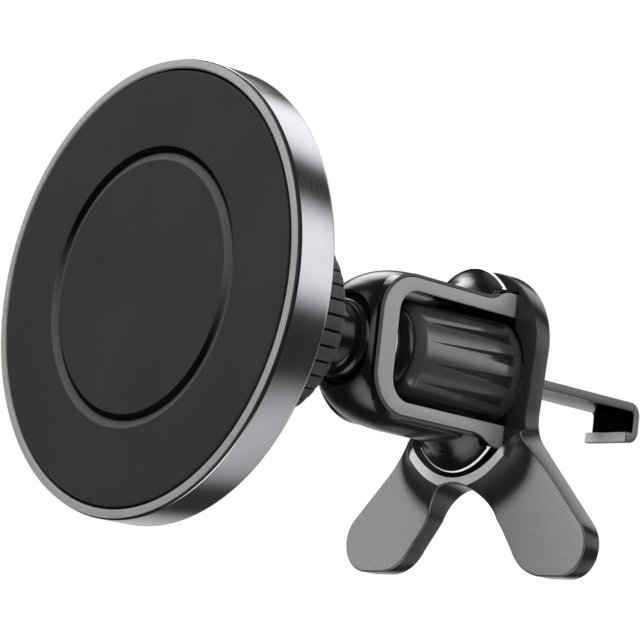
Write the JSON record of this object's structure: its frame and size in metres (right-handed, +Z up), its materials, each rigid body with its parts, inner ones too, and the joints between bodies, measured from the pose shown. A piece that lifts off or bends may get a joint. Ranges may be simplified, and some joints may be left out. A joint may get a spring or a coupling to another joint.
{
  "type": "car phone mount",
  "caption": "Magnetic car phone mount: round pad on a ball joint, slim housing with a thumb wheel, two-legged stand and a steel hook for an air vent.",
  "frame": {"origin": "middle of the pad's front face, where the phone sits", "axes": "+Y from the pad towards the vent hook, +Z up with the legs pointing down, +X to the right seen from the phone's side"},
  "size_m": [0.058, 0.0895, 0.058],
  "materials": {
    "bezel": "gunmetal anodised, polished",
    "pad": "matte silicone",
    "black_gloss": "high gloss",
    "black_matte": "fine matte",
    "grey_satin": "satin",
    "gunmetal": "glossy metallic",
    "hook_steel": "polished",
    "screw_steel": "satin",
    "magnet": "nickel plated",
    "brass": "turned",
    "nylon": "natural",
    "foot_rubber": "matte"
  },
  "bodies": {
    "grip": {"housing": "black_gloss", "ball_stud": "black_gloss", "side_panel_right": "grey_satin", "side_panel_left": "grey_satin", "leg_stand": "gunmetal", "stand_screw_1": "screw_steel", "stand_screw_2": "screw_steel", "foot_pad_right": "foot_rubber", "foot_pad_left": "foot_rubber", "washer_front": "nylon", "washer_rear": "nylon"},
    "tilt_liner": {"ball_liner_front": "nylon"},
    "swivel_liner": {"ball_liner_rear": "nylon"},
    "head": {"bezel_ring": "bezel", "phone_pad": "pad", "magnet_carrier": "black_matte", "magnet_01": "magnet", "magnet_02": "magnet", "magnet_03": "magnet", "magnet_04": "magnet", "magnet_05": "magnet", "magnet_06": "magnet", "magnet_07": "magnet", "magnet_08": "magnet", "magnet_09": "magnet", "magnet_10": "magnet", "magnet_11": "magnet", "magnet_12": "magnet", "magnet_13": "magnet", "magnet_14": "magnet", "magnet_15": "magnet", "magnet_16": "magnet", "steel_yoke": "screw_steel", "back_cover": "black_matte", "cover_screw_1": "screw_steel", "cover_screw_2": "screw_steel", "cover_screw_3": "screw_steel", "cover_screw_4": "screw_steel", "ball_socket": "black_matte"},
    "nut": {"collar_nut": "black_matte"},
    "wheel": {"thumb_wheel": "gunmetal", "wheel_collar": "black_gloss", "wheel_insert": "brass"},
    "hook": {"vent_hook": "hook_steel"}
  },
  "joints": [
    {"name": "head_tilt", "type": "hinge", "parent": "grip", "child": "tilt_liner", "pos_m": [0, 0.0167, 0], "axis": [1, 0, 0], "range_deg": [-20, 20]},
    {"name": "head_swivel", "type": "hinge", "parent": "tilt_liner", "child": "swivel_liner", "pos_m": [0, 0.0167, 0], "axis": [0, 0, 1], "range_deg": [-20, 20]},
    {"name": "head_spin", "type": "hinge", "parent": "swivel_liner", "child": "head", "pos_m": [0, 0.0167, 0], "axis": [0, 1, 0], "continuous": true},
    {"name": "nut_turn", "type": "hinge", "parent": "head", "child": "nut", "pos_m": [0, 0.0167, 0], "axis": [0, 1, 0], "range_deg": [-30, 330]},
    {"name": "wheel_turn", "type": "hinge", "parent": "grip", "child": "wheel", "pos_m": [0, 0.0504, 0], "axis": [0, 1, 0], "range_deg": [-1080, 1530]},
    {"name": "hook_slide", "type": "slide", "parent": "grip", "child": "hook", "axis": [0, 1, 0], "range_m": [-0.00851, 0.00601]}
  ],
  "couplings": [
    {"joint": "hook_slide", "follows": "wheel_turn", "m_per_rad": -0.00031831}
  ]
}
